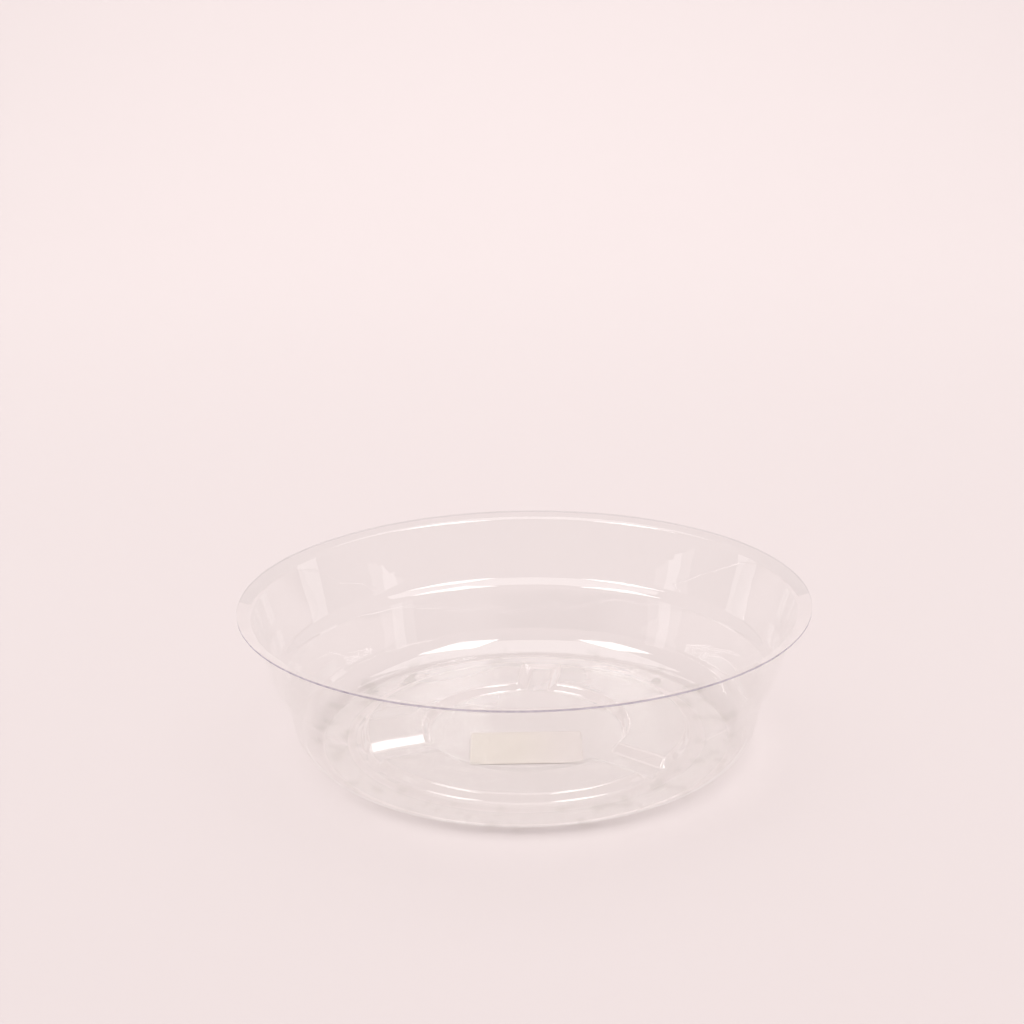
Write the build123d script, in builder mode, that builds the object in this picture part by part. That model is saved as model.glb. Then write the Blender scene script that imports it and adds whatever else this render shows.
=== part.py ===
from build123d import *
import os
from math import atan2, cos, hypot, radians, tan

# Clear thermoformed plant saucer. Millimetres, Z up, standing on its foot ring at Z = 0, front towards -Y.

# Sheet and overall size
sheet = 0.5
rim_diameter = 152.0
rim_height = 40.0

# Rim flange, rising slightly outwards from the wall
flange_width = 3.4
flange_rise = 1.1
flange_bend_radius = 1.0

# Stepped, drafted wall: radial runs from the flange down to the foot
upper_wall_run = 5.0
ledge_run = 2.3
ledge_drop = 1.9
lower_wall_run = 4.1
ledge_height_share = 0.53
ledge_bend_radius = 1.6
foot_corner_radius = 8.0

# Floor: a lifted centre, a sloping shoulder and the foot ring that the saucer stands on
floor_lift = 0.25
shoulder_gap = 1.6
shoulder_run = 2.4
shoulder_bend_radius = 2.0
disc_share = 0.49
ridge_share = 0.817

# Floor ridge, split into segments by straight drain channels
ridge_count = 3
ridge_rise = 2.2
ridge_slope = 45.0
ridge_corner_radius = 3.0
crest_bend_radius = 0.5
root_bend_radius = 1.2
channel_width = 6.5
first_channel_angle = 83.0

# Paper label under the centre disc, towards the front
label_length = 30.0
label_width = 20.0
label_thickness = 0.12
label_corner_radius = 0.8
label_shift_share = 0.36

# How far a cutting tool runs past the face it enters through
overrun = 0.2

rim_radius = rim_diameter / 2
flange_lean = atan2(flange_rise, flange_width)
edge_depth = sheet / cos(flange_lean)
neck_radius = rim_radius - flange_width
neck_height = rim_height - edge_depth - flange_rise
ledge_top_radius = neck_radius - upper_wall_run
ledge_top_height = rim_height * ledge_height_share
ledge_foot_radius = ledge_top_radius - ledge_run
ledge_foot_height = ledge_top_height - ledge_drop
foot_radius = ledge_foot_radius - lower_wall_run

# The foot's bend eats into the flat ring by its tangent length
lower_wall_angle = atan2(ledge_foot_height, lower_wall_run)
foot_flat_radius = foot_radius - foot_corner_radius * tan(lower_wall_angle / 2)
disc_radius = foot_flat_radius * disc_share
ridge_radius = foot_flat_radius * ridge_share
shoulder_radius = ridge_radius + shoulder_gap
foot_ring_radius = shoulder_radius + shoulder_run

floor_top = floor_lift + sheet
ridge_inset = sheet * tan(radians(ridge_slope) / 2)
ridge_spread = overrun / tan(radians(ridge_slope))


def parallel(points, gap):
    """Corners of the same line moved to its left by a gap, with mitred bends and both ends moved straight up."""
    moved = [(points[0][0], points[0][1] + gap)]
    for before, corner, after in zip(points, points[1:], points[2:]):
        run_in = hypot(corner[0] - before[0], corner[1] - before[1])
        run_out = hypot(after[0] - corner[0], after[1] - corner[1])
        left_in = ((before[1] - corner[1]) / run_in, (corner[0] - before[0]) / run_in)
        left_out = ((corner[1] - after[1]) / run_out, (after[0] - corner[0]) / run_out)
        mitre = gap / (1 + left_in[0] * left_out[0] + left_in[1] * left_out[1])
        moved.append((corner[0] + mitre * (left_in[0] + left_out[0]), corner[1] + mitre * (left_in[1] + left_out[1])))
    moved.append((points[-1][0], points[-1][1] + edge_depth))
    return moved


def ridge_plan(sketch, inset):
    """Plan of the ridge segments with rounded corners, drawn in by an inset."""
    Circle(ridge_radius - inset)
    Circle(disc_radius + inset, mode=Mode.SUBTRACT)
    with PolarLocations(ridge_radius, ridge_count, start_angle=first_channel_angle):
        Rectangle(2 * ridge_radius, channel_width + 2 * inset, mode=Mode.SUBTRACT)
    fillet(sketch.vertices(), ridge_corner_radius - inset)


def level_face(part, level):
    """Flat faces of the part at a height."""
    return part.faces().filter_by(Plane.XY).filter_by_position(Axis.Z, level - overrun, level + overrun)


def root_edges(part, level):
    """Closed loops where the ridge segments meet the floor's flat face at a height."""
    floor = level_face(part, level).sort_by(SortBy.AREA)[-1]
    return [edge for loop in floor.inner_wires() for edge in loop.edges()]


# Underside of the sheet, from the axis out to the rim's cut edge, and its upper side
underside = [
    (0, floor_lift),
    (shoulder_radius, floor_lift),
    (foot_ring_radius, 0),
    (foot_radius, 0),
    (ledge_foot_radius, ledge_foot_height),
    (ledge_top_radius, ledge_top_height),
    (neck_radius, neck_height),
    (rim_radius, rim_height - edge_depth),
]
upper_side = parallel(underside, sheet)

# Bend radii at the inner side of each bend, and whether the upper side is that inner side
bends = [
    (shoulder_bend_radius, False),
    (shoulder_bend_radius, True),
    (foot_corner_radius, True),
    (ledge_bend_radius, False),
    (ledge_bend_radius, True),
    (flange_bend_radius, False),
]

with BuildPart() as saucer_shell:
    # Drawn sheet as a body of revolution
    with BuildSketch(Plane.XZ) as section:
        with BuildLine():
            Polyline(*underside, *reversed(upper_side), close=True)
        make_face()
        for lower, upper, (radius, upper_inside) in zip(underside[1:-1], upper_side[1:-1], bends):
            fillet(section.vertices().sort_by_distance((*lower, 0))[0], radius + sheet if upper_inside else radius)
            fillet(section.vertices().sort_by_distance((*upper, 0))[0], radius if upper_inside else radius + sheet)
    revolve(axis=Axis.Z)

    # Ridge segments rising from the floor
    with BuildSketch(Plane.XY.offset(floor_top)) as crest:
        ridge_plan(crest, 0)
    extrude(amount=ridge_rise, taper=90 - ridge_slope)
    fillet(level_face(saucer_shell, floor_top + ridge_rise).edges(), crest_bend_radius + sheet)
    fillet(root_edges(saucer_shell, floor_top), root_bend_radius)

    # Matching hollow on the underside, so that the sheet keeps its thickness
    with BuildSketch(Plane.XY.offset(floor_lift - overrun)) as hollow:
        ridge_plan(hollow, ridge_inset - ridge_spread)
    extrude(amount=ridge_rise + overrun, taper=90 - ridge_slope, mode=Mode.SUBTRACT)
    fillet(level_face(saucer_shell, floor_lift + ridge_rise).edges(), crest_bend_radius)
    fillet(root_edges(saucer_shell, floor_lift), root_bend_radius + sheet)

saucer_shell.part.label = "saucer_shell"

with BuildPart() as underside_label:
    with BuildSketch(Plane.XY.offset(floor_lift)):
        with Locations((0, -disc_radius * label_shift_share)):
            RectangleRounded(label_length, label_width, label_corner_radius)
    extrude(amount=-label_thickness)

underside_label.part.label = "underside_label"

os.makedirs("parts", exist_ok=True)
export_step(saucer_shell.part, "parts/saucer_shell.step")
export_step(underside_label.part, "parts/underside_label.step")
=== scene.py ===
"""Clear thermoformed plant saucer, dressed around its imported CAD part. Metres, Z up, front towards -Y."""

from math import atan2, cos, pi, radians, sin, tan

import bpy
import numpy as np
from mathutils import Matrix, Vector


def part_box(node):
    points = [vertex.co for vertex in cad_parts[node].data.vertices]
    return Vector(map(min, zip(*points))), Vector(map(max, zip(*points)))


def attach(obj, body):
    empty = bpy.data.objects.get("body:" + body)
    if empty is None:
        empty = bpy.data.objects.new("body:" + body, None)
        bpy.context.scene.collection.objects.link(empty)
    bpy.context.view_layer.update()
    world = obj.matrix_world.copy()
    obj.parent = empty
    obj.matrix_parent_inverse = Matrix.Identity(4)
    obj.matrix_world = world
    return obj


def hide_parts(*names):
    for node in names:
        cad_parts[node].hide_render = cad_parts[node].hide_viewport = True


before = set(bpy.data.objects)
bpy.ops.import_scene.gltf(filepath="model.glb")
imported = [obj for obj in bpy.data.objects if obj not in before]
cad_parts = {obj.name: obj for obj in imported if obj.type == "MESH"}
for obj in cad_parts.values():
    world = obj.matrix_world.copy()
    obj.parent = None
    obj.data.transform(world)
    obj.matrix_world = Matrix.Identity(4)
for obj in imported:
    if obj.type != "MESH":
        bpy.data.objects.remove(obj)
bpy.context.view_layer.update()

# Sizes of the saucer in millimetres. They are the CAD source's, apart from the ledge and crest bends, the
# right channel's angle and the steeper ring-shaped sides of the ridge, which follow the photo's highlights
SHEET = 0.5
RIM_R, RIM_H = 76.0, 40.0
FLANGE_W, FLANGE_RISE, FLANGE_BEND = 3.4, 1.1, 1.0
UPPER_RUN, LEDGE_RUN, LEDGE_DROP, LOWER_RUN = 5.0, 2.3, 1.9, 4.1
LEDGE_SHARE, LEDGE_BEND, FOOT_BEND = 0.53, 2.4, 8.0
LIFT, SHOULDER_GAP, SHOULDER_RUN, SHOULDER_BEND = 0.25, 1.6, 2.4, 2.0
DISC_SHARE, RIDGE_SHARE = 0.49, 0.817
RIDGE_RISE, RIDGE_SLOPE, RIDGE_CORNER = 2.2, radians(45), 3.0
CREST_BEND, ROOT_BEND = 1.0, 1.2
# The ring-shaped sides of the ridge are steeper than its ends by this factor
RING_STEEPER = 1.8
CHANNEL_W, CHANNELS = 6.5, [radians(a) for a in (83, 203, 319)]
# Unevenness of the sheet: forming ripples in the wall, dimples in the floor, and a nick in the rim where the
# trim knife met its start, with its angle and width in degrees and its dip as a share of its depth
RIPPLE, RIPPLE_WAVES = 0.10, 16
DIMPLE, DIMPLE_WAVES = 0.6, 8
NICK_DEPTH, NICK_ANGLE, NICK_WIDTH, NICK_DIP = 0.35, 282.6, 0.55, 0.3
# Columns of the mesh in degrees: how far the fine step reaches from a channel, that step, and the coarse one
NEAR_CHANNEL, FINE_STEP, COARSE_STEP = 14, 0.4, 1.5
# The label in metres: its corner radius, the width of its sloping edge and its gap to the CAD label's faces
LABEL_CORNER, LABEL_SLOPE, LABEL_GAP = 0.0008, 0.0004, 0.00001

LEAN = atan2(FLANGE_RISE, FLANGE_W)
EDGE = SHEET / cos(LEAN)
NECK_R, NECK_H = RIM_R - FLANGE_W, RIM_H - EDGE - FLANGE_RISE
LEDGE_R, LEDGE_H = NECK_R - UPPER_RUN, RIM_H * LEDGE_SHARE
STEP_R, STEP_H = LEDGE_R - LEDGE_RUN, LEDGE_H - LEDGE_DROP
FOOT_R = STEP_R - LOWER_RUN
FLAT_R = FOOT_R - FOOT_BEND * tan(atan2(STEP_H, LOWER_RUN) / 2)
DISC_R, RIDGE_R = FLAT_R * DISC_SHARE, FLAT_R * RIDGE_SHARE
SHOULDER_R = RIDGE_R + SHOULDER_GAP


def upper_corners():
    """Corners of the sheet's upper side from the axis to the rim, found from the underside's corners."""
    low = np.array([(0, LIFT), (SHOULDER_R, LIFT), (SHOULDER_R + SHOULDER_RUN, 0), (FOOT_R, 0),
                    (STEP_R, STEP_H), (LEDGE_R, LEDGE_H), (NECK_R, NECK_H), (RIM_R, RIM_H - EDGE)])
    along = np.diff(low, axis=0)
    along /= np.linalg.norm(along, axis=1)[:, None]
    left = np.stack([-along[:, 1], along[:, 0]], 1)
    mitre = (left[:-1] + left[1:]) / (1 + (left[:-1] * left[1:]).sum(1))[:, None]
    return np.concatenate([[(0, LIFT + SHEET)], low[1:-1] + SHEET * mitre, [(RIM_R, RIM_H)]])


def straight(start, end, gap):
    """Points at about a gap on the way from a start, which is left out, to an end."""
    cuts = max(1, round(np.linalg.norm(end - start) / gap))
    return [start + (end - start) * k / cuts for k in range(1, cuts + 1)]


def rounded(corners, radii, arc_steps, gaps):
    """Points along a line: its corners rounded to the radii, its straight runs cut at about the gaps."""
    out = [corners[0]]
    bends = zip(corners, corners[1:], corners[2:], radii, arc_steps, gaps)
    for before, corner, after, radius, steps, gap in bends:
        u, v = before - corner, after - corner
        u, v = u / np.linalg.norm(u), v / np.linalg.norm(v)
        half = np.arccos(np.clip(u @ v, -1, 1)) / 2
        start, end = corner + u * radius / tan(half), corner + v * radius / tan(half)
        centre = corner + (u + v) / np.linalg.norm(u + v) * radius / sin(half)
        out += straight(out[-1], start, gap)
        a, b = start - centre, end - centre
        turn = atan2(a[0] * b[1] - a[1] * b[0], a @ b)
        for k in range(1, steps + 1):
            c, s = cos(turn * k / steps), sin(turn * k / steps)
            out.append(centre + np.array([c * a[0] - s * a[1], s * a[0] + c * a[1]]))
    out += straight(out[-1], corners[-1], gaps[-1])
    return np.array(out)


def ridge_height(x, y):
    """Height of the floor ridge above the floor: three arc segments with sloping sides and rounded bends."""
    r = np.hypot(x, y)
    inside = np.minimum(r - DISC_R, RIDGE_R - r) * RING_STEEPER
    for a in CHANNELS:
        ahead = x * cos(a) + y * sin(a) > 0
        # Behind the axis a channel has no wall, so its distance there is larger than any other
        wall = np.where(ahead, np.abs(y * cos(a) - x * sin(a)) - CHANNEL_W / 2, 1e3)
        near = (inside < RIDGE_CORNER) & (wall < RIDGE_CORNER)
        corner = RIDGE_CORNER - np.hypot(RIDGE_CORNER - inside, RIDGE_CORNER - wall)
        inside = np.where(near, corner, np.minimum(inside, wall))
    # Side profile: root bend, slope, crest bend
    t = tan(RIDGE_SLOPE / 2)
    root, crest = ROOT_BEND * t, CREST_BEND * t
    run = RIDGE_RISE / tan(RIDGE_SLOPE)
    d = np.clip(inside, -root, run + crest)
    low = ROOT_BEND - np.sqrt(np.maximum(ROOT_BEND ** 2 - (d + root) ** 2, 0))
    high = RIDGE_RISE - CREST_BEND + np.sqrt(np.maximum(CREST_BEND ** 2 - (run + crest - d) ** 2, 0))
    slope = d * tan(RIDGE_SLOPE)
    lows = root * cos(RIDGE_SLOPE)
    highs = crest * cos(RIDGE_SLOPE)
    return np.where(d < lows, low, np.where(d > run - highs, high, slope))


def waves(angle, height):
    """Gentle forming ripples, as a mean of seeded sines around and up the wall."""
    rng = np.random.default_rng(5)
    total = 0
    for _ in range(RIPPLE_WAVES):
        turns = int(rng.integers(2, 26))
        climb = rng.uniform(0.02, 0.5)
        total = total + np.sin(turns * angle + climb * height + rng.uniform(0, 2 * pi)) / RIPPLE_WAVES
    return total


def dimples(x, y):
    """Gentle unevenness of the floor as a mean of seeded plane sines, from 0 up to 1."""
    rng = np.random.default_rng(11)
    total = np.zeros_like(x)
    for _ in range(DIMPLE_WAVES):
        heading = rng.uniform(0, pi)
        length = rng.uniform(10, 40)
        along = x * cos(heading) + y * sin(heading)
        total = total + np.sin(along * 2 * pi / length + rng.uniform(0, 2 * pi)) / DIMPLE_WAVES
    return (1 + total) / 2


def column_angles():
    """Angles of the mesh's columns, which lie closer together near the channels, where the ridge ends."""
    near = radians(1) * np.arange(-NEAR_CHANNEL, NEAR_CHANNEL, FINE_STEP)
    fine = np.concatenate([a + near for a in CHANNELS])
    coarse = radians(1) * np.arange(0, 360, COARSE_STEP)
    apart = np.abs((coarse[:, None] - np.array(CHANNELS)[None] + pi) % (2 * pi) - pi)
    far = np.min(apart, axis=1) > radians(NEAR_CHANNEL + FINE_STEP)
    return np.sort(np.concatenate([fine % (2 * pi), coarse[far]]))


ANGLES = column_angles()


def sheet_rows():
    """Radius and height of the mesh's rows on the upper side from the axis to the rim, without the ridge."""
    radii = [SHOULDER_BEND + SHEET, SHOULDER_BEND, FOOT_BEND,
             LEDGE_BEND + SHEET, LEDGE_BEND, FLANGE_BEND + SHEET]
    arc_steps = [4, 4, 18, 7, 7, 8]
    gaps = [1.0, 1.0, 1.4, 2.0, 2.0, 2.0, 0.7]
    line = rounded(upper_corners(), radii, arc_steps, gaps)
    wall = line[line[:, 0] > SHOULDER_R - 1.2]
    # Rows lie closer together on both sides of the ridge
    floor = np.concatenate([np.linspace(1.5, DISC_R - 1.2, 9),
                            np.arange(DISC_R - 0.9, DISC_R + 3.9, 0.3),
                            np.linspace(DISC_R + 4.5, RIDGE_R - 4.5, 7),
                            np.arange(RIDGE_R - 3.9, RIDGE_R + 0.9, 0.3)])
    floor = floor[floor < wall[0, 0] - 0.15]
    return np.concatenate([np.stack([floor, np.full(len(floor), LIFT + SHEET)], 1), wall])


def surface_normals(points):
    """Unit normals of a grid of points that closes on itself around the axis."""
    outward = np.gradient(points, axis=0)
    wrapped = np.concatenate([points[:, -1:], points, points[:, :1]], 1)
    around = (wrapped[:, 2:] - wrapped[:, :-2]) / 2
    normal = np.cross(outward, around)
    return normal / np.linalg.norm(normal, axis=2)[..., None]


def sheet_sides(rows):
    """Points of the sheet's upper side and underside by row and column, with the ridge and all unevenness."""
    r, height = rows[:, :1], rows[:, 1:]
    x, y = r * np.cos(ANGLES), r * np.sin(ANGLES)
    z = height + np.where(r < SHOULDER_R, ridge_height(x, y), 0)
    z = z + DIMPLE * np.clip((SHOULDER_R - r) / 3, 0, 1) * dimples(x, y)
    top = np.stack([x, y, z], -1)
    normal = surface_normals(top)
    # Forming ripples, fading out at the foot ring and the rim
    fade = np.clip((height - 1.5) / 6, 0, 1) * np.clip((RIM_H - 1.2 - height) / 5, 0, 1)
    top = top + normal * (RIPPLE * fade * waves(ANGLES, height))[..., None]
    under = top - SHEET * normal
    under[..., 2] = np.maximum(under[..., 2], 0)
    # Straight cut at the rim, with the trim knife's nick
    nick = NICK_DEPTH * np.exp(-((np.degrees(ANGLES) - NICK_ANGLE) / NICK_WIDTH) ** 2)
    edge = RIM_R - nick
    top[-1] = np.stack([edge * np.cos(ANGLES), edge * np.sin(ANGLES), RIM_H - NICK_DIP * nick], 1)
    under[-1] = top[-1] - [0, 0, EDGE]
    return top, under


def saucer_mesh():
    """The whole sheet as one closed mesh: upper side, underside and the rim's cut edge."""
    top, under = sheet_sides(sheet_rows())
    n, m = top.shape[:2]
    middle = LIFT + DIMPLE * float(dimples(np.zeros(1), np.zeros(1))[0])
    centre_top, centre_under = [(0, 0, middle + SHEET)], [(0, 0, middle)]
    verts = np.concatenate([top.reshape(-1, 3), under.reshape(-1, 3), centre_top, centre_under]) * 0.001
    i, j = np.meshgrid(np.arange(n - 1), np.arange(m), indexing="ij")
    k = (j + 1) % m
    upper = np.stack([i * m + j, (i + 1) * m + j, (i + 1) * m + k, i * m + k], -1).reshape(-1, 4)
    lower = upper[:, ::-1] + n * m
    j = np.arange(m)
    k = (j + 1) % m
    rim = np.stack([(n - 1) * m + j, (2 * n - 1) * m + j, (2 * n - 1) * m + k, (n - 1) * m + k], 1)
    faces = upper.tolist() + lower.tolist() + rim.tolist()
    faces += [(2 * n * m, int(b), int(c)) for b, c in zip(j, k)]
    faces += [(2 * n * m + 1, int(c) + n * m, int(b) + n * m) for b, c in zip(j, k)]
    mesh = bpy.data.meshes.new("saucer_skin")
    mesh.from_pydata(verts.tolist(), [], faces)
    slots = np.zeros(len(faces), np.int32)
    slots[len(upper) * 2:len(upper) * 2 + m] = 1
    mesh.polygons.foreach_set("material_index", slots)
    mesh.polygons.foreach_set("use_smooth", np.ones(len(faces), bool))
    mesh.update()
    mesh.set_sharp_from_angle(angle=radians(50))
    return mesh


def node_material(name):
    """A new material with an empty node tree, its nodes and links, and its output node."""
    material = bpy.data.materials.new(name)
    material.use_nodes = True
    nodes, links = material.node_tree.nodes, material.node_tree.links
    nodes.clear()
    return material, nodes, links, nodes.new("ShaderNodeOutputMaterial")


def texture(nodes, links, kind, coords, **values):
    """A texture node fed with object coordinates, with its named sockets set."""
    node = nodes.new(kind)
    links.new(coords.outputs["Object"], node.inputs["Vector"])
    for socket, value in values.items():
        node.inputs[socket].default_value = value
    return node


def spread(nodes, links, source, low, high, to_low, to_high):
    """Maps a socket's value from one range to another, held at both ends."""
    node = nodes.new("ShaderNodeMapRange")
    links.new(source, node.inputs["Value"])
    for socket, value in zip(("From Min", "From Max", "To Min", "To Max"), (low, high, to_low, to_high)):
        node.inputs[socket].default_value = value
    return node.outputs["Result"]


def calculated(nodes, links, operation, first, second):
    """The result of a Math node on a socket and a second socket or number."""
    node = nodes.new("ShaderNodeMath")
    node.operation = operation
    links.new(first, node.inputs[0])
    if isinstance(second, bpy.types.NodeSocket):
        links.new(second, node.inputs[1])
    else:
        node.inputs[1].default_value = second
    return node.outputs["Value"]


def ring_place(nodes, links, coords):
    """A point's distance from the saucer's axis, and its three coordinates."""
    place = nodes.new("ShaderNodeSeparateXYZ")
    links.new(coords.outputs["Object"], place.inputs["Vector"])
    level = nodes.new("ShaderNodeCombineXYZ")
    links.new(place.outputs["X"], level.inputs["X"])
    links.new(place.outputs["Y"], level.inputs["Y"])
    radius = nodes.new("ShaderNodeVectorMath")
    radius.operation = "LENGTH"
    links.new(level.outputs["Vector"], radius.inputs[0])
    return radius.outputs["Value"], place.outputs


def vinyl_finish(nodes, links, coords, side):
    """Roughness: faint smears, and a duller mould texture on the level floor than on the walls and bends."""
    smears = texture(nodes, links, "ShaderNodeTexNoise", coords, Scale=90, Detail=4, Roughness=0.6)
    smooth = spread(nodes, links, smears.outputs["Fac"], 0.4, 0.75, 0.01, 0.035)
    tilt = nodes.new("ShaderNodeSeparateXYZ")
    links.new(side.outputs["Normal"], tilt.inputs["Vector"])
    dull = spread(nodes, links, tilt.outputs["Z"], 0.985, 0.998, 0, 0.3)
    return calculated(nodes, links, "MAXIMUM", smooth, dull)


def foot_shade(nodes, links, radius, place):
    """Shade from the foot's bend, which is drawn thin and bends light away: most at the front."""
    outward = spread(nodes, links, radius, 0.0545, 0.0560, 0, 1)
    low = spread(nodes, links, place["Z"], 0.0008, 0.003, 1, 0)
    front = spread(nodes, links, place["Y"], -0.058, -0.030, 0.7, 0.15)
    bend = calculated(nodes, links, "MULTIPLY", outward, low)
    return calculated(nodes, links, "MULTIPLY", bend, front)


def tint_with_painted_shade(nodes, links, coords, radius, place):
    """The clear sheet's tint, with faint spots of painted shade where the sheet lies low, outside the ridge.
    """
    # The darker spots are painted shade: they stand in for shadows that light bent at the ridge casts on the
    # table
    spots = texture(nodes, links, "ShaderNodeTexNoise", coords, Scale=190, Detail=1)
    ring = spread(nodes, links, radius, 0.0455, 0.047, 0, 1)
    low = spread(nodes, links, place["Z"], 0.0012, 0.0022, 1, 0)
    shade_spots = spread(nodes, links, spots.outputs["Fac"], 0.59, 0.61, 0, 1)
    shade_spots = calculated(nodes, links, "MULTIPLY", calculated(nodes, links, "MULTIPLY", ring, low), shade_spots)
    tint = nodes.new("ShaderNodeMix")
    tint.data_type = "RGBA"
    links.new(shade_spots, tint.inputs["Factor"])
    tint.inputs["A"].default_value = (0.985, 0.985, 0.982, 1)
    tint.inputs["B"].default_value = (0.950, 0.951, 0.943, 1)
    return tint.outputs["Result"]


def vinyl_material():
    """Clear glossy vinyl as thin sheet: the skin met first mirrors for both, more so at a glancing angle."""
    material, nodes, links, output = node_material("clear_vinyl")
    coords = nodes.new("ShaderNodeTexCoord")
    side = nodes.new("ShaderNodeNewGeometry")
    radius, place = ring_place(nodes, links, coords)
    peel = texture(nodes, links, "ShaderNodeTexNoise", coords, Scale=160, Detail=2)
    bump = nodes.new("ShaderNodeBump")
    bump.inputs["Strength"].default_value = 0.04
    bump.inputs["Distance"].default_value = 0.0006
    links.new(peel.outputs["Fac"], bump.inputs["Height"])
    gloss = nodes.new("ShaderNodeBsdfGlossy")
    gloss.inputs["Color"].default_value = (1, 1, 1, 1)
    links.new(vinyl_finish(nodes, links, coords, side), gloss.inputs["Roughness"])
    links.new(bump.outputs["Normal"], gloss.inputs["Normal"])
    clear = nodes.new("ShaderNodeBsdfTransparent")
    links.new(tint_with_painted_shade(nodes, links, coords, radius, place), clear.inputs["Color"])
    facing = nodes.new("ShaderNodeLayerWeight")
    facing.inputs["Blend"].default_value = 0.5
    links.new(bump.outputs["Normal"], facing.inputs["Normal"])
    # Rays of sight and light meet the mirror's share; rays that only test for shadow meet a weaker one
    glancing = calculated(nodes, links, "POWER", facing.outputs["Facing"], 3.6)
    mirrored = spread(nodes, links, glancing, 0, 1, 0.084, 1)
    grazing = calculated(nodes, links, "POWER", facing.outputs["Facing"], 6)
    shading = spread(nodes, links, grazing, 0, 1, 0, 0.3)
    shading = calculated(nodes, links, "MAXIMUM", shading, foot_shade(nodes, links, radius, place))
    path = nodes.new("ShaderNodeLightPath")
    stopped = nodes.new("ShaderNodeMix")
    links.new(path.outputs["Is Shadow Ray"], stopped.inputs["Factor"])
    links.new(mirrored, stopped.inputs["A"])
    links.new(shading, stopped.inputs["B"])
    outside = spread(nodes, links, side.outputs["Backfacing"], 0, 1, 1, 0)
    mix = nodes.new("ShaderNodeMixShader")
    links.new(calculated(nodes, links, "MULTIPLY", stopped.outputs["Result"], outside), mix.inputs["Fac"])
    links.new(clear.outputs["BSDF"], mix.inputs[1])
    links.new(gloss.outputs["BSDF"], mix.inputs[2])
    links.new(mix.outputs["Shader"], output.inputs["Surface"])
    return material


def edge_material():
    """The rim's knife-cut edge: slightly frosted, and violet grey because the sheet is seen end on."""
    material, nodes, links, output = node_material("cut_edge")
    coords = nodes.new("ShaderNodeTexCoord")
    skin = nodes.new("ShaderNodeBsdfPrincipled")
    skin.inputs["IOR"].default_value = 1.53
    side = nodes.new("ShaderNodeNewGeometry")
    links.new(spread(nodes, links, side.outputs["Backfacing"], 0, 1, 0.6, 0.15), skin.inputs["Alpha"])
    skin.inputs["Roughness"].default_value = 0.35
    streaks = texture(nodes, links, "ShaderNodeTexNoise", coords, Scale=700, Detail=3)
    ramp = nodes.new("ShaderNodeValToRGB")
    ramp.color_ramp.elements[0].position = 0.35
    ramp.color_ramp.elements[0].color = (0.30, 0.26, 0.36, 1)
    ramp.color_ramp.elements[1].position = 0.7
    ramp.color_ramp.elements[1].color = (0.52, 0.47, 0.57, 1)
    links.new(streaks.outputs["Fac"], ramp.inputs["Fac"])
    links.new(ramp.outputs["Color"], skin.inputs["Base Color"])
    links.new(skin.outputs["BSDF"], output.inputs["Surface"])
    return material


def label_mesh():
    """A thin paper label under the disc, with rounded corners and a sloping edge."""
    low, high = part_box("underside_label")
    cx, cy = (low.x + high.x) / 2, (low.y + high.y) / 2
    w, h = (high.x - low.x) / 2 - LABEL_CORNER, (high.y - low.y) / 2 - LABEL_CORNER
    levels = ((high.z - LABEL_GAP, LABEL_SLOPE), (low.z + LABEL_GAP, 0))
    verts = []
    for z, inset in levels:
        reach = LABEL_CORNER - inset
        for quarter, (sx, sy) in enumerate(((1, 1), (-1, 1), (-1, -1), (1, -1))):
            for k in range(7):
                t = pi / 2 * (quarter + k / 6)
                verts.append((cx + sx * w + reach * cos(t), cy + sy * h + reach * sin(t), z))
    n = len(verts) // 2
    verts += [(cx, cy, z) for z, inset in levels]
    faces = [(j, (j + 1) % n, 2 * n) for j in range(n)]
    faces += [((j + 1) % n + n, j + n, 2 * n + 1) for j in range(n)]
    faces += [(j + n, (j + 1) % n + n, (j + 1) % n, j) for j in range(n)]
    mesh = bpy.data.meshes.new("label")
    mesh.from_pydata(verts, [], faces)
    mesh.update()
    return mesh


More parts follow.
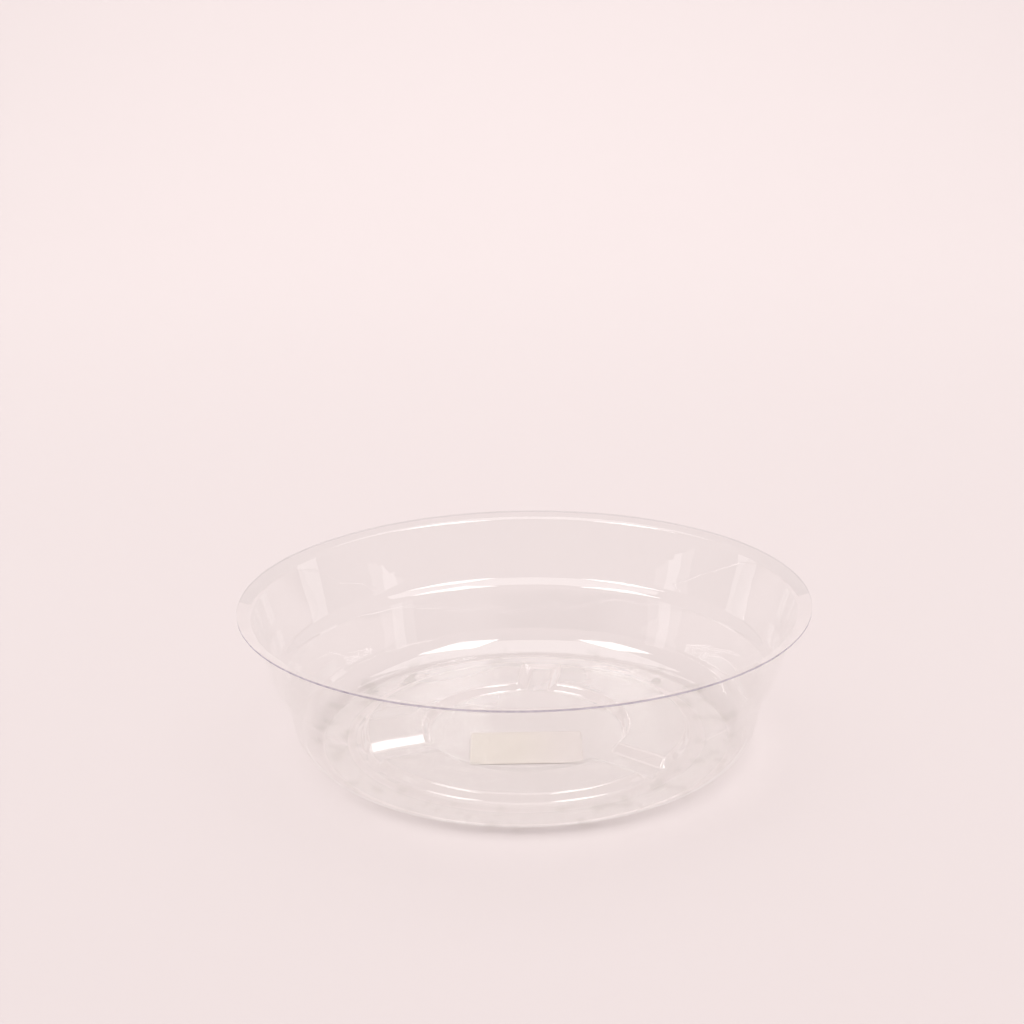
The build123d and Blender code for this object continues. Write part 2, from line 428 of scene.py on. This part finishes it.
def paper_material():
    """Bare label paper seen from its gummed side: cream, with faint fibres and uneven glue."""
    material, nodes, links, output = node_material("label_paper")
    coords = nodes.new("ShaderNodeTexCoord")
    skin = nodes.new("ShaderNodeBsdfPrincipled")
    skin.inputs["Roughness"].default_value = 0.75
    glue = texture(nodes, links, "ShaderNodeTexNoise", coords, Scale=120, Detail=6, Roughness=0.65)
    ramp = nodes.new("ShaderNodeValToRGB")
    ramp.color_ramp.elements[0].position = 0.3
    ramp.color_ramp.elements[0].color = (0.715, 0.650, 0.605, 1)
    ramp.color_ramp.elements[1].position = 0.7
    ramp.color_ramp.elements[1].color = (0.75, 0.685, 0.64, 1)
    links.new(glue.outputs["Fac"], ramp.inputs["Fac"])
    # The paper is bleached towards its right end
    place = nodes.new("ShaderNodeSeparateXYZ")
    links.new(coords.outputs["Object"], place.inputs["Vector"])
    paper = nodes.new("ShaderNodeMix")
    paper.data_type = "RGBA"
    links.new(spread(nodes, links, place.outputs["X"], -0.002, 0.010, 0, 1), paper.inputs["Factor"])
    links.new(ramp.outputs["Color"], paper.inputs["A"])
    paper.inputs["B"].default_value = (0.725, 0.655, 0.640, 1)
    links.new(paper.outputs["Result"], skin.inputs["Base Color"])
    fibres = texture(nodes, links, "ShaderNodeTexNoise", coords, Scale=2600, Detail=3)
    bump = nodes.new("ShaderNodeBump")
    bump.inputs["Strength"].default_value = 0.2
    bump.inputs["Distance"].default_value = 0.0001
    links.new(fibres.outputs["Fac"], bump.inputs["Height"])
    links.new(bump.outputs["Normal"], skin.inputs["Normal"])
    glow = nodes.new("ShaderNodeBsdfTranslucent")
    links.new(paper.outputs["Result"], glow.inputs["Color"])
    mix = nodes.new("ShaderNodeMixShader")
    mix.inputs["Fac"].default_value = 0.35
    links.new(skin.outputs["BSDF"], mix.inputs[1])
    links.new(glow.outputs["BSDF"], mix.inputs[2])
    links.new(mix.outputs["Shader"], output.inputs["Surface"])
    return material


def add_object(name, mesh, *materials):
    """A scene object for a mesh, with its materials in slot order."""
    piece = bpy.data.objects.new(name, mesh)
    bpy.context.scene.collection.objects.link(piece)
    for material in materials:
        mesh.materials.append(material)
    return piece


# Camera solved from the photograph: its place, its axes and its focal length in widths of the frame
right = Vector((0.999853433, 0.000714026, -0.0171056063))
up = Vector((0.0161075367, 0.299342684, 0.954009698))
back = Vector((0.00580162576, -0.954145402, 0.29928731))
camera_data = bpy.data.cameras.new("camera")
camera_data.sensor_width = 36
camera_data.lens = 36 * 1.76816
camera_data.clip_start, camera_data.clip_end = 0.01, 50
camera = bpy.data.objects.new("camera", camera_data)
bpy.context.scene.collection.objects.link(camera)
axes = Matrix((right, up, back)).transposed().to_4x4()
camera.matrix_world = Matrix.Translation((0, -0.454605, 0.206025)) @ axes
bpy.context.scene.camera = camera

# The saucer
skin = add_object("saucer_skin", saucer_mesh(), vinyl_material(), edge_material())
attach(skin, "root")
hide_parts("saucer_shell")
label = add_object("label", label_mesh(), paper_material())
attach(label, "root")
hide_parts("underside_label")


def sweep():
    """Pale paper sweep: a floor that curves up into a back wall."""
    start, bend = 0.9, 0.7
    turn = [(start + bend * sin(t), bend - bend * cos(t)) for t in np.linspace(0, radians(86), 24)]
    line = [(-0.75, 0), (-0.4, 0), (0, 0), (0.4, 0), *turn]
    across = np.linspace(-3, 3, 7)
    # The floor lies just below the foot ring, so that the two don't share a plane
    verts = [(x, y, z - 0.00005) for y, z in line for x in across]
    w = len(across)
    faces = [(i * w + j, i * w + j + 1, (i + 1) * w + j + 1, (i + 1) * w + j)
             for i in range(len(line) - 1) for j in range(w - 1)]
    mesh = bpy.data.meshes.new("sweep")
    mesh.from_pydata(verts, [], faces)
    mesh.polygons.foreach_set("use_smooth", np.ones(len(faces), bool))
    material, nodes, links, output = node_material("sweep_paper")
    paper = nodes.new("ShaderNodeBsdfPrincipled")
    paper.inputs["Base Color"].default_value = (0.503, 0.450, 0.450, 1)
    paper.inputs["Roughness"].default_value = 0.8
    paper.inputs["Specular IOR Level"].default_value = 0.2
    links.new(paper.outputs["BSDF"], output.inputs["Surface"])
    return add_object("sweep", mesh, material)


sweep()


def softbox(name, place, target, width, depth, watts):
    """A soft box that faces a target point."""
    data = bpy.data.lights.new(name, "AREA")
    data.shape = "RECTANGLE"
    data.size, data.size_y, data.energy = width, depth, watts
    data.color = (0.99, 1.0, 0.99)
    lamp = bpy.data.objects.new(name, data)
    bpy.context.scene.collection.objects.link(lamp)
    lamp.location = place
    lamp.rotation_euler = (Vector(target) - Vector(place)).to_track_quat("-Z", "Y").to_euler()
    return lamp


# Lamps, each with its place, the point it faces, its width, its depth and its watts
softbox("softbox_right", (0.48, -0.45, 1.0), (0.48, -0.45001, 0), 0.46, 0.74, 4.8)
softbox("softbox_left", (-0.80, -0.43, 1.0), (-0.80, -0.43001, 0), 0.56, 0.72, 5.6)
wash = softbox("backdrop_wash", (0, 0.95, 1.3), (0, 1.15, 0), 2.4, 0.8, 23)
wash.visible_glossy = False
softbox("ceiling", (0, 0, 2.4), (0, 0.00001, 0), 3.0, 3.0, 30)

# Pale cards stand on the table beside the saucer, and only its gloss shows them: place, width and brightness
CARD_H = 0.075
CARDS = ((0.235, -0.069, 0.03, 0.7), (0.235, -0.069, 0.09, 0.25), (-0.244, -0.035, 0.03, 0.7),
         (-0.244, -0.035, 0.09, 0.25), (0.221, 0.132, 0.06, 0.5), (-0.211, 0.153, 0.06, 0.5))
for k, (x, y, width, glow) in enumerate(CARDS):
    watts = glow * pi * width * CARD_H
    card = softbox(f"card_{k}", (x, y, CARD_H / 2), (0, 0, CARD_H / 2), width, CARD_H, watts)
    card.visible_diffuse = False
    card.visible_camera = False

# The room is pale above, dimmer near the horizon and dark low down at the camera, with a broad
# glow at the back on each side
world = bpy.data.worlds.new("room")
scene = bpy.context.scene
scene.world = world
world.use_nodes = True
room, sky = world.node_tree.nodes, world.node_tree.links
room["Background"].inputs["Color"].default_value = (1.0, 0.9, 0.89, 1)
direction = room.new("ShaderNodeTexCoord")
parts = room.new("ShaderNodeSeparateXYZ")
sky.new(direction.outputs["Generated"], parts.inputs["Vector"])
level = room.new("ShaderNodeCombineXYZ")
sky.new(parts.outputs["X"], level.inputs["X"])
sky.new(parts.outputs["Y"], level.inputs["Y"])
heading = room.new("ShaderNodeVectorMath")
heading.operation = "NORMALIZE"
sky.new(level.outputs["Vector"], heading.inputs[0])


def toward(azimuth):
    """How far a direction's heading points to an azimuth from the camera's side: 1 is straight at it."""
    node = room.new("ShaderNodeVectorMath")
    node.operation = "DOT_PRODUCT"
    sky.new(heading.outputs["Vector"], node.inputs[0])
    node.inputs[1].default_value = (sin(radians(azimuth)), -cos(radians(azimuth)), 0)
    return calculated(room, sky, "MAXIMUM", node.outputs["Value"], 0)


shade = calculated(room, sky, "MULTIPLY", spread(room, sky, toward(-15), 0.8, 0.95, 0, 0.85),
                   spread(room, sky, parts.outputs["Z"], 0.06, 0.13, 1, 0))
lit = calculated(room, sky, "MULTIPLY", spread(room, sky, parts.outputs["Z"], 0.02, 0.15, 0.44, 0.62),
                 spread(room, sky, shade, 0, 1, 1, 0))
for azimuth in (128, -128):
    broad = calculated(room, sky, "POWER", toward(azimuth), 25)
    low_down = spread(room, sky, parts.outputs["Z"], 0.1, 0.25, 0.4, 0)
    lit = calculated(room, sky, "ADD", lit, calculated(room, sky, "MULTIPLY", broad, low_down))
sky.new(lit, room["Background"].inputs["Strength"])

scene.view_settings.view_transform = "Standard"
scene.cycles.max_bounces = 32
scene.cycles.caustics_reflective = True
scene.cycles.blur_glossy = 0
scene.cycles.glossy_bounces = 16
scene.cycles.transparent_max_bounces = 32
